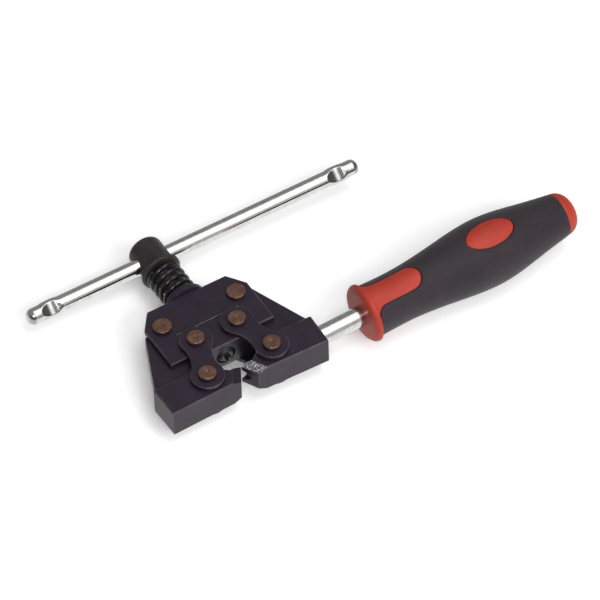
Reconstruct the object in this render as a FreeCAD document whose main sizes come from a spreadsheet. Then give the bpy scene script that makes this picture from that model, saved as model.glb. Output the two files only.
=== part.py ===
import FreeCAD, Part

import math
import os

import Sketcher

# Chain tool with self-closing jaws, in millimetres. The origin is the centre of the chain seat, where the
# two jaw tips meet on the spindle's axis. +Y runs along the spindle to the T-bar, +X to the handle, and
# Z = 0 is the middle of the head's thickness. The tool is drawn with its jaws closed.

SIZES = {
    # head casting
    "head_thick": 15.0, "cheek_thick": 2.8, "tongue_play": 0.1, "edge_break": 0.4,
    "fork_front": 20.8, "fork_half": 27.5, "fork_shoulder": 45.5, "fork_back": 54.4, "fork_back_half": 21.0,
    "web_half": 11.5, "slot_back": 50.5, "notch_half": 16.15, "notch_back": 34.85,
    # jaw pivots, and the closing angle of the jaws at rest
    "pivot_across": 19.7, "pivot_along": 42.3, "jaw_tilt": 1.8,
    # crosshead nut
    "cross_half": 16.0, "cross_back": 34.5, "cross_front": 18.4, "cross_corner": 2.5,
    "nut_pin_across": 11.0, "nut_pin_along": 26.5,
    # jaws, measured from their pivot
    "tongue_round": 7.8, "tongue_inner": 2.6, "tongue_top": 1.4, "tongue_outer_top": 8.7,
    "tongue_outer_low": 23.1, "tongue_low": 31.0,
    "block_back": 29.2, "block_front": 46.3, "block_outer": 23.1, "wall_low": 38.3, "wall_high": 29.8,
    "wall_across": 12.5, "tip_back": 18.35, "tip_front": 13.5, "bevel_width": 4.74, "bevel_drop": 2.25,
    "jaw_pin_across": 1.43, "jaw_pin_along": 36.86, "seat_radius": 2.75,
    # rivets
    "pivot_shank": 3.6, "pivot_head": 4.5, "link_shank": 3.0, "link_head": 4.25, "head_rise": 2.1,
    "head_chamfer": 0.35, "dimple_radius": 0.7, "dimple_depth": 0.3, "press_gap": 0.02, "running_gap": 0.05,
    "jaw_pin_gap": 0.2,
    # link plates
    "link_lift": 0.1, "link_thick": 2.2, "link_round": 8.0, "link_waist": 5.3,
    # spindle, its spring and T-bar
    "spindle_radius": 5.0, "nose_radius": 4.9, "nose_tip": 17.3, "nose_shoulder": 19.5, "nose_chamfer": 1.9,
    "hub_radius": 8.5, "hub_low": 79.5, "hub_top": 95.1, "hub_rounding": 2.8, "bar_along": 86.05,
    "bar_bore": 4.1, "punch_radius": 1.45, "punch_tip": 14.4, "punch_root": 27.3, "punch_chamfer": 0.45,
    "collar_radius": 10.0, "collar_low": 76.9, "collar_chamfer": 0.6,
    "flange_radius": 10.5, "flange_thick": 3.0, "bush_radius": 6.3, "bush_length": 10.0, "flange_chamfer": 0.6,
    "wire_radius": 1.1, "coil_radius": 7.65, "coil_pitch": 4.12,
    "bar_radius": 4.0, "bar_left": 67.0, "bar_right": 111.7, "bar_rounding": 3.0, "bar_roll": 44.0,
    "pinch_from_end": 12.0, "pinch_half": 5.3, "pinch_width": 3.3, "pinch_depth": 1.9, "ear_reach": 4.45,
    "ear_thick": 2.4,
    # handle, measured along its own axis from X = 0
    "rod_radius": 4.9, "rod_start": 29.0, "rod_end": 140.0, "rod_along": 3.65, "rod_lean": 1.6,
    "grip_roll": 8.9, "ring_front": 64.8, "ring_radius": 14.4, "ring_rounding": 3.3,
    "grip_start": 68.3, "grip_start_radius": 12.9, "waist_at": 86.0, "waist_radius": 12.5,
    "swell_at": 112.0, "swell_radius": 14.8, "belly_at": 137.0, "belly_radius": 16.6,
    "fade_at": 160.0, "fade_radius": 13.2, "grip_end": 175.2, "grip_end_radius": 10.75, "skin": 2.4,
    "cap_end": 182.7, "cap_shoulder": 180.7, "cap_shoulder_radius": 8.4,
    "panel_half": 6.4, "panel_end": 96.3, "flare_radius": 6.2,
    "oval_at": 134.8, "oval_half_length": 12.9, "oval_half_width": 7.3,
}

OVERSHOOT = 5.0
ROUND = 360.0

doc = FreeCAD.newDocument("chain_tool")
sheet = doc.addObject("Spreadsheet::Sheet", "Sizes")
nodes = []


def fill_sheet():
    for row, (alias, value) in enumerate(SIZES.items(), start=1):
        sheet.set(f"A{row}", alias)
        sheet.set(f"B{row}", str(value))
        sheet.setAlias(f"B{row}", alias)
    doc.recompute()


def size(alias):
    return float(sheet.get(alias))


def keep(feature, label):
    """Name a finished sub-part; its label is its file's name."""
    feature.Label = label
    nodes.append(feature)
    return feature


def origin_plane(body, role):
    return next(item for item in body.Origin.OriginFeatures if item.Role == role)


def new_sketch(body, name, role):
    sketch = body.newObject("Sketcher::SketchObject", name)
    sketch.AttachmentSupport = [(origin_plane(body, role), "")]
    sketch.MapMode = "FlatFace"
    return sketch


def bind_point(sketch, geometry, vertex, place, start):
    """Hold one point of the sketch at a pair of expressions measured from the sketch's origin."""
    for kind, expression, value in zip(("DistanceX", "DistanceY"), place, start):
        index = sketch.addConstraint(Sketcher.Constraint(kind, -1, 1, geometry, vertex, value))
        sketch.setExpression(f"Constraints[{index}]", expression)


def outline(body, name, role, corners):
    """A closed outline of straight sides through the corners, in order."""
    sketch = new_sketch(body, name, role)
    count = len(corners)
    turns = [math.radians(ROUND * index / count) for index in range(count)]
    starts = [FreeCAD.Vector(math.cos(turn), math.sin(turn), 0) * 10 for turn in turns]
    for index in range(count):
        sketch.addGeometry(Part.LineSegment(starts[index], starts[(index + 1) % count]), False)
    for index in range(count):
        sketch.addConstraint(Sketcher.Constraint("Coincident", index, 2, (index + 1) % count, 1))
    for index, corner in enumerate(corners):
        bind_point(sketch, index, 1, corner, (starts[index].x, starts[index].y))
    return sketch


def circles(body, name, role, rounds):
    """Whole circles, each a centre's two expressions and a radius."""
    sketch = new_sketch(body, name, role)
    for index, (across, along, radius) in enumerate(rounds):
        centre = FreeCAD.Vector(20 * index, 20, 0)
        sketch.addGeometry(Part.Circle(centre, FreeCAD.Vector(0, 0, 1), 2), False)
        bind_point(sketch, index, 3, (across, along), (centre.x, centre.y))
        held = sketch.addConstraint(Sketcher.Constraint("Radius", index, 2))
        sketch.setExpression(f"Constraints[{held}]", radius)
    return sketch


def pad(body, sketch, length):
    """Thicken a sketch equally to both sides of its plane."""
    feature = body.newObject("PartDesign::Pad", f"{sketch.Name}_pad")
    feature.Profile = sketch
    feature.SideType = "Symmetric"
    feature.setExpression("Length", length)
    doc.recompute()
    return feature


def pocket(body, sketch, length):
    """Cut a sketch equally to both sides of its plane, and make sure that it cuts something."""
    before = body.Shape.Volume
    feature = body.newObject("PartDesign::Pocket", f"{sketch.Name}_pocket")
    feature.Profile = sketch
    feature.SideType = "Symmetric"
    feature.setExpression("Length", length)
    doc.recompute()
    if not body.Shape.Volume < before:
        raise RuntimeError(f"{feature.Name} cuts nothing")
    return feature


def break_edges(body, chosen, amount, kind="PartDesign::Chamfer"):
    """Chamfer or round the edges of the body's tip that the test chooses."""
    tip = body.Tip
    names = [f"Edge{index}" for index, edge in enumerate(tip.Shape.Edges, start=1) if chosen(edge)]
    feature = body.newObject(kind, f"{body.Name}_edges")
    feature.Base = (tip, names)
    feature.setExpression("Size" if kind == "PartDesign::Chamfer" else "Radius", amount)
    doc.recompute()
    return feature


def on_level(height):
    """Choose the edges that lie in the two planes Z = +height and Z = -height."""
    def test(edge):
        box = edge.BoundBox
        return box.ZLength < 0.01 and abs(abs(box.ZMax) - height) < 0.01
    return test


def turned(name, role, axis, corners):
    """A body of revolution; the corners give the half outline beside the sketch's own axis."""
    body = doc.addObject("PartDesign::Body", name)
    sketch = outline(body, f"{name}_outline", role, corners)
    feature = body.newObject("PartDesign::Revolution", f"{name}_turned")
    feature.Profile = sketch
    feature.ReferenceAxis = (sketch, [axis])
    feature.Angle = ROUND
    doc.recompute()
    return body


def cut(name, base, tool):
    feature = doc.addObject("Part::Cut", name)
    feature.Base = base
    feature.Tool = tool
    return feature


def fuse(name, shapes):
    feature = doc.addObject("Part::MultiFuse", name)
    feature.Shapes = shapes
    return feature


def common(name, first, second):
    feature = doc.addObject("Part::MultiCommon", name)
    feature.Shapes = [first, second]
    return feature


def cylinder(name, radius, height, expressions=None, direction=None):
    """A cylinder bound to the sheet; direction turns its axis away from Z."""
    feature = doc.addObject("Part::Cylinder", name)
    feature.setExpression("Radius", radius)
    feature.setExpression("Height", height)
    if direction is not None:
        feature.Placement.Rotation = FreeCAD.Rotation(FreeCAD.Vector(0, 0, 1), direction)
    for path, expression in (expressions or {}).items():
        feature.setExpression(path, expression)
    return feature


def block(name, lengths, corner):
    """A box bound to the sheet by its three lengths and its lowest corner."""
    feature = doc.addObject("Part::Box", name)
    for path, expression in zip(("Length", "Width", "Height"), lengths):
        feature.setExpression(path, expression)
    for axis, expression in zip("xyz", corner):
        feature.setExpression(f"Placement.Base.{axis}", expression)
    return feature


def make_fork():
    """One-piece head: two cheeks joined by a back wall and a web, notched at the front for the nut."""
    body = doc.addObject("PartDesign::Body", "fork")
    edge = "Sizes.fork_half"
    corners = [(f"-{edge}", "Sizes.fork_front"), ("-Sizes.notch_half", "Sizes.fork_front"),
               ("-Sizes.notch_half", "Sizes.notch_back"), ("Sizes.notch_half", "Sizes.notch_back"),
               ("Sizes.notch_half", "Sizes.fork_front"), (edge, "Sizes.fork_front"),
               (edge, "Sizes.fork_shoulder"), ("Sizes.fork_back_half", "Sizes.fork_back"),
               ("-Sizes.fork_back_half", "Sizes.fork_back"), (f"-{edge}", "Sizes.fork_shoulder")]
    pad(body, outline(body, "fork_plan", "XY_Plane", corners), "Sizes.head_thick")
    break_edges(body, on_level(size("head_thick") / 2), "Sizes.edge_break")
    for side, sign in (("left", "-"), ("right", "")):
        near = f"{sign}Sizes.web_half"
        far = f"{sign}(Sizes.fork_half + {OVERSHOOT})"
        low = f"Sizes.fork_front - {OVERSHOOT}"
        slot = outline(body, f"{side}_slot", "XY_Plane",
                       [(near, low), (far, low), (far, "Sizes.slot_back"), (near, "Sizes.slot_back")])
        pocket(body, slot, "Sizes.head_thick - 2 * Sizes.cheek_thick")
    pivots = [(f"{sign}Sizes.pivot_across", "Sizes.pivot_along", "Sizes.pivot_shank + Sizes.press_gap")
              for sign in ("-", "")]
    pocket(body, circles(body, "pivot_holes", "XY_Plane", pivots), "2 * Sizes.head_thick")
    bore = circles(body, "bush_bore", "XZ_Plane", [("0", "0", "Sizes.bush_radius + Sizes.press_gap")])
    pocket(body, bore, f"2 * Sizes.fork_back + 2 * {OVERSHOOT}")
    keep(body, "body_fork")


def make_crosshead():
    """Nut that the spindle screws through; its two pins carry the links."""
    body = doc.addObject("PartDesign::Body", "nut")
    wide = "Sizes.cross_half"
    inset = "(Sizes.cross_half - Sizes.cross_corner)"
    lift = "Sizes.cross_front + Sizes.cross_corner"
    corners = [(f"-{inset}", "Sizes.cross_front"), (inset, "Sizes.cross_front"), (wide, lift),
               (wide, "Sizes.cross_back"), (f"-{wide}", "Sizes.cross_back"), (f"-{wide}", lift)]
    pad(body, outline(body, "nut_plan", "XY_Plane", corners), "Sizes.head_thick")
    break_edges(body, on_level(size("head_thick") / 2), "Sizes.edge_break")
    pins = [(f"{sign}Sizes.nut_pin_across", "Sizes.nut_pin_along", "Sizes.link_shank + Sizes.press_gap")
            for sign in ("-", "")]
    pocket(body, circles(body, "nut_pin_holes", "XY_Plane", pins), "2 * Sizes.head_thick")
    bore = circles(body, "nut_bore", "XZ_Plane", [("0", "0", "Sizes.spindle_radius + Sizes.running_gap")])
    pocket(body, bore, f"2 * Sizes.cross_back + 2 * {OVERSHOOT}")
    keep(body, "crosshead")


def make_tip_bevel():
    """Prism that takes the top or bottom slope off a jaw's tip; it runs along the tip's slanted end."""
    body = doc.addObject("PartDesign::Body", "bevel")
    top = "Sizes.head_thick / 2"
    slope = "Sizes.bevel_drop / Sizes.bevel_width"
    inner = f"-(Sizes.tip_front + {OVERSHOOT})"
    outer = "-(Sizes.tip_front - Sizes.bevel_width)"
    low = f"{top} - Sizes.bevel_drop - {OVERSHOOT} * {slope}"
    beyond = f"-(Sizes.tip_front - Sizes.bevel_width - {OVERSHOOT})"
    high = f"{top} + {OVERSHOOT} * {slope}"
    corners = [(inner, low), (outer, top), (beyond, high), (inner, high)]
    sketch = outline(body, "bevel_section", "XZ_Plane", corners)
    prism = doc.addObject("Part::Extrusion", "bevel_prism")
    prism.Base = sketch
    prism.DirMode = "Custom"
    run = FreeCAD.Vector(size("tip_front") - size("tip_back"), size("block_front") - size("wall_low"), 0)
    prism.Dir = run
    prism.Solid = True
    prism.LengthFwd = 3 * run.Length
    start = FreeCAD.Vector(0, -size("block_front"), 0) - run
    prism.Placement.Base = start
    return prism


def make_jaw_blank():
    """Right-hand jaw about its pivot: a thin tongue between the cheeks, then a full-thickness block."""
    body = doc.addObject("PartDesign::Body", "jaw_blank")
    thin = "Sizes.head_thick - 2 * (Sizes.cheek_thick + Sizes.tongue_play)"
    tongue = [("-Sizes.tongue_inner", "0"), ("-Sizes.tongue_inner", "-Sizes.tongue_low"),
              ("Sizes.tongue_outer_low", "-Sizes.tongue_low"), ("Sizes.tongue_outer_top", "Sizes.tongue_top"),
              ("0", "Sizes.tongue_top")]
    pad(body, outline(body, "tongue_plan", "XY_Plane", tongue), thin)
    pad(body, circles(body, "tongue_eye", "XY_Plane", [("0", "0", "Sizes.tongue_round")]), thin)
    front = "-Sizes.block_front"
    plan = [("-Sizes.tongue_inner", "-Sizes.wall_high"), ("-Sizes.wall_across", "-Sizes.wall_low"),
            ("-Sizes.tip_back", "-Sizes.wall_low"), ("-Sizes.tip_front", front), ("Sizes.block_outer", front),
            ("Sizes.block_outer", "-Sizes.block_back"), ("-Sizes.tongue_inner", "-Sizes.block_back")]
    pad(body, outline(body, "block_plan", "XY_Plane", plan), "Sizes.head_thick")
    break_edges(body, on_level(size("head_thick") / 2), "Sizes.edge_break")
    eyes = [("0", "0", "Sizes.pivot_shank + Sizes.running_gap"),
            ("-Sizes.jaw_pin_across", "-Sizes.jaw_pin_along", "Sizes.link_shank + Sizes.jaw_pin_gap")]
    pocket(body, circles(body, "jaw_eyes", "XY_Plane", eyes), "2 * Sizes.head_thick")
    upper = make_tip_bevel()
    lower = doc.addObject("Part::Mirroring", "lower_bevel")
    lower.Source = upper
    lower.Normal = FreeCAD.Vector(0, 0, 1)
    shaped = cut("jaw_shaped", body, fuse("both_bevels", [upper, lower]))
    shaped.setExpression("Placement.Base.x", "Sizes.pivot_across")
    shaped.setExpression("Placement.Base.y", "Sizes.pivot_along")
    shaped.setExpression("Placement.Rotation.Angle", "-Sizes.jaw_tilt")
    seat = cylinder("seat_round", "Sizes.seat_radius", "2 * Sizes.head_thick",
                    {"Placement.Base.y": "-Sizes.head_thick"}, FreeCAD.Vector(0, 1, 0))
    return cut("jaw_notched", shaped, seat)


def handle_placement():
    """The handle's own axis leaves the right jaw's flank and leans back a little."""
    lean = FreeCAD.Rotation(FreeCAD.Vector(0, 0, 1), size("rod_lean"))
    roll = FreeCAD.Rotation(FreeCAD.Vector(1, 0, 0), size("grip_roll"))
    return FreeCAD.Placement(FreeCAD.Vector(0, size("rod_along"), 0), lean * roll)


def make_jaws():
    """The left jaw is the mirror image of the right one, which is also bored for the handle's rod."""
    blank = make_jaw_blank()
    left = doc.addObject("Part::Mirroring", "left_jaw_solid")
    left.Source = blank
    left.Normal = FreeCAD.Vector(1, 0, 0)
    keep(left, "left_jaw")
    bore = cylinder("rod_bore", "Sizes.rod_radius + Sizes.press_gap", "Sizes.rod_end")
    along = FreeCAD.Placement(FreeCAD.Vector(size("rod_start"), 0, 0),
                              FreeCAD.Rotation(FreeCAD.Vector(0, 0, 1), FreeCAD.Vector(1, 0, 0)))
    bore.Placement = handle_placement() * along
    keep(cut("right_jaw_solid", blank, bore), "right_jaw")


def make_rivet(label, place, shank, head, seat, dimpled):
    """Pin headed over at both ends; seat is the height where the heads begin."""
    top = f"({seat} + Sizes.head_rise)"
    rim = f"({seat} + Sizes.head_rise - Sizes.head_chamfer)"
    inner = f"{head} - Sizes.head_chamfer"
    upper = [(shank, seat), (head, seat), (head, rim), (inner, top)]
    if dimpled:
        upper += [("Sizes.dimple_radius", top), ("0", f"{top} - Sizes.dimple_depth")]
    else:
        upper += [("0", top)]
    lower = [(across, f"-({height})") for across, height in reversed(upper)]
    rivet = turned(label, "XZ_Plane", "V_Axis", lower + upper)
    rivet.setExpression("Placement.Base.x", place[0])
    rivet.setExpression("Placement.Base.y", place[1])
    keep(rivet, label)


def jaw_pin_place(sign):
    """Centre of the pin that joins a link to its jaw, with the jaws closed."""
    tilt = math.radians(size("jaw_tilt"))
    across = -size("jaw_pin_across")
    along = -size("jaw_pin_along")
    turned_across = across * math.cos(tilt) + along * math.sin(tilt)
    turned_along = along * math.cos(tilt) - across * math.sin(tilt)
    return FreeCAD.Vector(sign * (size("pivot_across") + turned_across), size("pivot_along") + turned_along, 0)


def make_rivets():
    outer_seat = "Sizes.head_thick / 2"
    link_top = f"{outer_seat} + Sizes.link_lift + Sizes.link_thick"
    for side, sign in (("left", -1), ("right", 1)):
        mark = "-" if sign < 0 else ""
        make_rivet(f"{side}_pivot_pin", (f"{mark}Sizes.pivot_across", "Sizes.pivot_along"),
                   "Sizes.pivot_shank", "Sizes.pivot_head", outer_seat, False)
        make_rivet(f"{side}_crosshead_pin", (f"{mark}Sizes.nut_pin_across", "Sizes.nut_pin_along"),
                   "Sizes.link_shank", "Sizes.link_head", f"{link_top} + Sizes.running_gap", True)
        place = jaw_pin_place(sign)
        make_rivet(f"{side}_link_pin", (str(place.x), str(place.y)),
                   "Sizes.link_shank", "Sizes.link_head", link_top, True)


def make_link(label, sign, level):
    """Waisted plate from the crosshead's pin to the jaw's pin, drawn from pin to pin along X."""
    start = FreeCAD.Vector(sign * size("nut_pin_across"), size("nut_pin_along"), 0)
    run = jaw_pin_place(sign) - start
    pitch = run.Length
    hollow = (pitch ** 2 / 4 + size("link_waist") ** 2 - size("link_round") ** 2)
    hollow /= 2 * (size("link_round") - size("link_waist"))
    share = size("link_round") / (size("link_round") + hollow)
    across = size("link_waist") + hollow
    thick = "Sizes.link_thick"
    ends = [cylinder(f"{label}_end{index}", "Sizes.link_round", thick, {"Placement.Base.x": str(at)})
            for index, at in enumerate((0, pitch))]
    neck = block(f"{label}_neck", (str(pitch * (1 - share)), str(2 * across * share), thick),
                 (str(pitch * share / 2), str(-across * share), "0"))
    hollows = [cylinder(f"{label}_hollow{index}", str(hollow), thick,
                        {"Placement.Base.x": str(pitch / 2), "Placement.Base.y": str(offset)})
               for index, offset in enumerate((-across, across))]
    holes = [cylinder(f"{label}_hole0", "Sizes.link_shank + Sizes.running_gap", thick),
             cylinder(f"{label}_hole1", "Sizes.link_shank + Sizes.press_gap", thick,
                      {"Placement.Base.x": str(pitch)})]
    plate = cut(label, fuse(f"{label}_plan", ends + [neck]), fuse(f"{label}_gaps", hollows + holes))
    height = size("head_thick") / 2 + size("link_lift")
    lowest = height if level > 0 else -height - size("link_thick")
    turn = FreeCAD.Rotation(FreeCAD.Vector(1, 0, 0), run)
    plate.Placement = FreeCAD.Placement(FreeCAD.Vector(start.x, start.y, lowest), turn)
    keep(plate, label)


def make_links():
    for side, sign in (("left", -1), ("right", 1)):
        for height, level in (("upper", 1), ("lower", -1)):
            make_link(f"{height}_{side}_link", sign, level)


def make_spindle():
    """Screw with its hub, bored across for the T-bar and down its nose for the punch."""
    socket = "Sizes.punch_radius + Sizes.press_gap"
    nose = "Sizes.nose_radius"
    stem = "Sizes.spindle_radius"
    corners = [(socket, "Sizes.nose_tip"), (f"{nose} - Sizes.nose_chamfer", "Sizes.nose_tip"),
               (nose, "Sizes.nose_tip + Sizes.nose_chamfer"), (nose, "Sizes.nose_shoulder"),
               (stem, "Sizes.nose_shoulder + Sizes.nose_chamfer"), (stem, "Sizes.hub_low"),
               ("Sizes.hub_radius", "Sizes.hub_low"), ("Sizes.hub_radius", "Sizes.hub_top"),
               ("0", "Sizes.hub_top"), ("0", "Sizes.punch_root"), (socket, "Sizes.punch_root")]
    body = turned("screw", "XY_Plane", "V_Axis", corners)
    rim = size("hub_top")
    break_edges(body, lambda edge: abs(edge.BoundBox.YMin - rim) < 0.01 and edge.BoundBox.XLength > 1,
                "Sizes.hub_rounding", "PartDesign::Fillet")
    eye = circles(body, "bar_eye", "YZ_Plane", [("Sizes.bar_along", "0", "Sizes.bar_bore")])
    pocket(body, eye, "4 * Sizes.hub_radius")
    keep(body, "spindle")


def make_punch():
    """Hardened pin pressed into the spindle's nose."""
    side = "Sizes.punch_radius"
    corners = [("0", "Sizes.punch_tip"), (f"{side} - Sizes.punch_chamfer", "Sizes.punch_tip"),
               (side, "Sizes.punch_tip + Sizes.punch_chamfer"), (side, "Sizes.punch_root"),
               ("0", "Sizes.punch_root")]
    keep(turned("punch_pin", "XY_Plane", "V_Axis", corners), "punch")


def make_collar():
    """Thrust collar between the spring and the spindle's hub."""
    inner = "Sizes.spindle_radius + Sizes.running_gap"
    outer = "Sizes.collar_radius"
    rim = f"{outer} - Sizes.collar_chamfer"
    top = "Sizes.hub_low - Sizes.running_gap"
    corners = [(inner, "Sizes.collar_low"), (rim, "Sizes.collar_low"),
               (outer, "Sizes.collar_low + Sizes.collar_chamfer"), (outer, f"{top} - Sizes.collar_chamfer"),
               (rim, top), (inner, top)]
    keep(turned("collar", "XY_Plane", "V_Axis", corners), "thrust_collar")


def make_spring_seat():
    """Flanged bush pressed into the back of the head; the spring stands on its flange."""
    inner = "Sizes.spindle_radius + Sizes.running_gap"
    top = "Sizes.fork_back + Sizes.flange_thick"
    outer = "Sizes.flange_radius"
    corners = [(inner, "Sizes.fork_back - Sizes.bush_length"),
               ("Sizes.bush_radius", "Sizes.fork_back - Sizes.bush_length"),
               ("Sizes.bush_radius", "Sizes.fork_back"), (outer, "Sizes.fork_back"),
               (outer, f"{top} - Sizes.flange_chamfer"), (f"{outer} - Sizes.flange_chamfer", top), (inner, top)]
    keep(turned("bush", "XY_Plane", "V_Axis", corners), "spring_seat")


def make_spring():
    """Round wire swept along a helix from the seat's flange to the collar."""
    wire = size("wire_radius")
    low = size("fork_back") + size("flange_thick") + wire
    rise = size("collar_low") - wire - low
    path = Part.Wire(Part.makeHelix(size("coil_pitch"), rise, size("coil_radius")).Edges)
    start = path.Edges[0].valueAt(path.Edges[0].FirstParameter)
    heading = path.Edges[0].tangentAt(path.Edges[0].FirstParameter)
    section = Part.Wire([Part.makeCircle(wire, start, heading, 90 * quarter, 90 * quarter + 90)
                         for quarter in range(4)])
    coil = path.makePipeShell([section], True, True)
    spring = doc.addObject("Part::Feature", "coil")
    spring.Shape = coil
    spring.Placement = FreeCAD.Placement(FreeCAD.Vector(0, low, 0),
                                         FreeCAD.Rotation(FreeCAD.Vector(0, 0, 1), FreeCAD.Vector(0, 1, 0)))
    keep(spring, "spring")


def ellipsoid(name, radii, centre):
    """An ellipsoid by its three half lengths along X, Y and Z."""
    feature = doc.addObject("Part::Ellipsoid", name)
    for path, expression in zip(("Radius2", "Radius3", "Radius1"), radii):
        feature.setExpression(path, expression)
    for axis, expression in zip("xyz", centre):
        feature.setExpression(f"Placement.Base.{axis}", expression)
    return feature


def make_bar():
    """T-bar with rounded ends, pinched near each end so that it can't slide out of the hub."""
    corners = [("-Sizes.bar_left", "0"), ("Sizes.bar_right", "0"), ("Sizes.bar_right", "Sizes.bar_radius"),
               ("-Sizes.bar_left", "Sizes.bar_radius")]
    body = turned("bar", "XY_Plane", "H_Axis", corners)
    break_edges(body, lambda edge: edge.BoundBox.XLength < 0.01 and edge.BoundBox.YLength > 1,
                "Sizes.bar_rounding", "PartDesign::Fillet")
    centres = ("Sizes.pinch_from_end - Sizes.bar_left", "Sizes.bar_right - Sizes.pinch_from_end")
    ears = [ellipsoid(f"ear{index}", ("Sizes.pinch_half", "Sizes.ear_reach", "Sizes.ear_thick"), (at, "0", "0"))
            for index, at in enumerate(centres)]
    dents = [ellipsoid(f"dent{index}_{level}", ("Sizes.pinch_half", "Sizes.pinch_width", "Sizes.pinch_depth"),
                       (at, "0", f"{sign}Sizes.bar_radius"))
             for index, at in enumerate(centres) for level, sign in (("low", "-"), ("high", ""))]
    bar = cut("pinched_bar", fuse("eared_bar", [body] + ears), fuse("dents", dents))
    bar.setExpression("Placement.Base.y", "Sizes.bar_along")
    bar.Placement.Rotation = FreeCAD.Rotation(FreeCAD.Vector(1, 0, 0), size("bar_roll"))
    keep(bar, "t_bar")


def shaped_feature(name, shape):
    feature = doc.addObject("Part::Feature", name)
    feature.Shape = shape
    return feature


def grip_solid(name, inset):
    """The grip's swelling barrel, turned about X from a smooth curve through its stations."""
    stations = [("grip_start", "grip_start_radius"), ("waist_at", "waist_radius"), ("swell_at", "swell_radius"),
                ("belly_at", "belly_radius"), ("fade_at", "fade_radius"), ("grip_end", "grip_end_radius")]
    points = [FreeCAD.Vector(size(at), 0, size(radius) - inset) for at, radius in stations]
    curve = Part.BSplineCurve()
    curve.interpolate(points)
    first = FreeCAD.Vector(points[0].x, 0, 0)
    last = FreeCAD.Vector(points[-1].x, 0, 0)
    ring = [Part.LineSegment(first, points[0]).toShape(), curve.toShape(),
            Part.LineSegment(points[-1], last).toShape(), Part.LineSegment(last, first).toShape()]
    face = Part.Face(Part.Wire(ring))
    return shaped_feature(name, face.revolve(FreeCAD.Vector(0, 0, 0), FreeCAD.Vector(1, 0, 0), ROUND))


def make_windows():
    """Prisms through the grip where the core shows: a thumb panel and an oval, on top and underneath."""
    reach = 2 * size("belly_radius")
    deep = str(2 * reach)
    low = str(-reach)
    rounded = cylinder("panel_end_round", "Sizes.panel_half", deep,
                       {"Placement.Base.x": "Sizes.panel_end - Sizes.panel_half", "Placement.Base.z": low})
    strip = block("panel_strip", ("Sizes.panel_end - Sizes.panel_half - Sizes.grip_start",
                                  "2 * Sizes.panel_half", deep),
                  ("Sizes.grip_start", "-Sizes.panel_half", low))
    flare = block("panel_flare", ("Sizes.flare_radius", "2 * (Sizes.panel_half + Sizes.flare_radius)", deep),
                  ("Sizes.grip_start", "-Sizes.panel_half - Sizes.flare_radius", low))
    scoops = [cylinder(f"flare_scoop{index}", "Sizes.flare_radius", deep,
                       {"Placement.Base.x": "Sizes.grip_start + Sizes.flare_radius",
                        "Placement.Base.y": f"{sign}(Sizes.panel_half + Sizes.flare_radius)",
                        "Placement.Base.z": low})
              for index, sign in enumerate(("-", ""))]
    flared = cut("panel_flared", flare, fuse("flare_scoops", scoops))
    ellipse = Part.Ellipse(FreeCAD.Vector(size("oval_at"), 0, -reach), size("oval_half_length"),
                           size("oval_half_width"))
    face = Part.Face(Part.Wire([ellipse.toShape()]))
    oval = shaped_feature("oval", face.extrude(FreeCAD.Vector(0, 0, 2 * reach)))
    return fuse("windows", [rounded, strip, flared, oval])


def make_ring():
    """Front ring of the handle's core, standing proud of the grip, with a generous rounding at the front."""
    corners = [("Sizes.ring_front", "0"), ("Sizes.grip_start", "0"), ("Sizes.grip_start", "Sizes.ring_radius"),
               ("Sizes.ring_front", "Sizes.ring_radius")]
    body = turned("front_ring", "XY_Plane", "H_Axis", corners)
    front = size("ring_front")
    break_edges(body, lambda edge: abs(edge.BoundBox.XMax - front) < 0.01 and edge.BoundBox.YLength > 1,
                "Sizes.ring_rounding", "PartDesign::Fillet")
    return body


def make_cap():
    """Domed end of the handle's core."""
    corners = [("Sizes.grip_end", "0"), ("Sizes.cap_end", "0"), ("Sizes.cap_shoulder", "Sizes.cap_shoulder_radius"),
               ("Sizes.grip_end", "Sizes.grip_end_radius")]
    return turned("end_cap", "XY_Plane", "H_Axis", corners)


def make_handle():
    """Steel rod, hard core and soft grip, made along X and then set on the rod's own axis."""
    rod = cylinder("rod", "Sizes.rod_radius", "Sizes.rod_end - Sizes.rod_start")
    along = FreeCAD.Placement(FreeCAD.Vector(size("rod_start"), 0, 0),
                              FreeCAD.Rotation(FreeCAD.Vector(0, 0, 1), FreeCAD.Vector(1, 0, 0)))
    rod.Placement = handle_placement() * along
    keep(rod, "handle_rod")
    barrel = grip_solid("barrel", 0)
    kernel = grip_solid("kernel", size("skin"))
    windows = make_windows()
    raised = common("raised_panels", barrel, windows)
    bore = cylinder("core_bore", "Sizes.rod_radius + Sizes.press_gap", "Sizes.rod_end - Sizes.ring_front + 5",
                    {"Placement.Base.x": "Sizes.ring_front - 5"}, FreeCAD.Vector(1, 0, 0))
    core = cut("core", fuse("core_parts", [kernel, raised, make_ring(), make_cap()]), bore)
    core.Placement = handle_placement()
    keep(core, "handle_core")
    grip = cut("grip", barrel, fuse("grip_room", [kernel, windows]))
    grip.Placement = handle_placement()
    keep(grip, "handle_grip")


def check():
    """Stop before writing anything if a feature failed or a sub-part isn't one valid solid."""
    for item in doc.Objects:
        if "Invalid" in item.State or "Error" in item.State:
            raise RuntimeError(f"{item.Name}: {item.State}")
    for node in nodes:
        shape = node.Shape
        if shape.isNull() or not shape.isValid() or len(shape.Solids) != 1:
            raise RuntimeError(f"{node.Label}: shape is null, not valid or not one solid")


fill_sheet()
make_fork()
make_crosshead()
make_jaws()
make_rivets()
make_links()
make_spindle()
make_punch()
make_collar()
make_spring_seat()
make_spring()
make_bar()
make_handle()
doc.recompute()
check()

os.makedirs("parts", exist_ok=True)
for node in nodes:
    node.Shape.exportStep(f"parts/{node.Label}.step")
    box = node.Shape.BoundBox
    print(f"{node.Label}: {node.Shape.Volume:.1f} mm3, {box.XLength:.1f} x {box.YLength:.1f} x {box.ZLength:.1f} mm")
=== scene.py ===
import math

import bmesh
import bpy
import numpy as np
from mathutils import Matrix, Vector


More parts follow.
